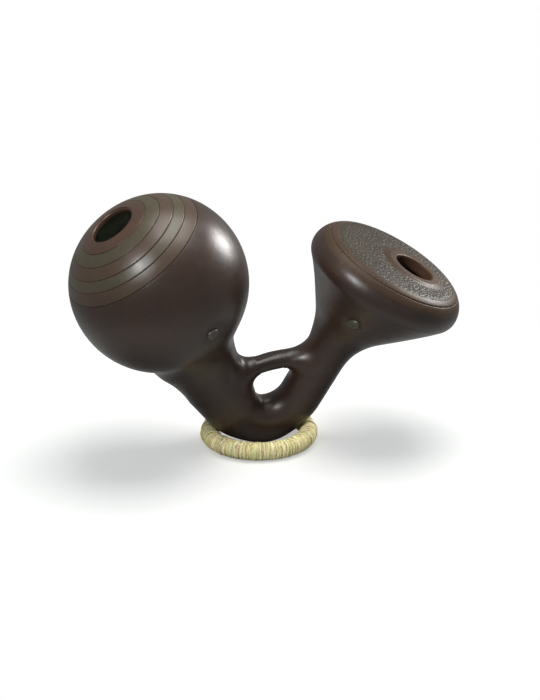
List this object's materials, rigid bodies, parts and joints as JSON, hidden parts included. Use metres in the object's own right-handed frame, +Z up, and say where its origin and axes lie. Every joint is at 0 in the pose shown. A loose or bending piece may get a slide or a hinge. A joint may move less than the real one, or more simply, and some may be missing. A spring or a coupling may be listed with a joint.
{
  "type": "udu_drum",
  "caption": "Two-chamber clay udu drum: a banded ball and a funnel with a stippled head share one bent heel, bridged above a finger hole, seated in a raffia ring.",
  "frame": {"origin": "middle of the bounding box on the floor, under the drum", "axes": "+X from the ball chamber towards the horn chamber, +Y away from the player, +Z up"},
  "size_m": [0.423, 0.1924, 0.2967],
  "materials": {
    "burnished_clay": "satin",
    "stippled_clay": "satin",
    "pad_clay": "satin",
    "straw": "matte",
    "raffia": "matte"
  },
  "bodies": {
    "ring_stand": {"ring_core": "straw", "ring_wrap": "raffia", "ring_knot": "raffia"},
    "drum": {"ball_chamber": "burnished_clay", "ball_seal": "pad_clay", "heel_bend": "burnished_clay", "finger_bridge": "burnished_clay", "horn_chamber": "burnished_clay", "horn_head": "stippled_clay", "horn_seal": "pad_clay"}
  },
  "joints": [
    {"name": "drum_lift", "type": "slide", "parent": "ring_stand", "child": "drum", "axis": [0, 0, 1], "range_m": [0, 0.08]}
  ]
}
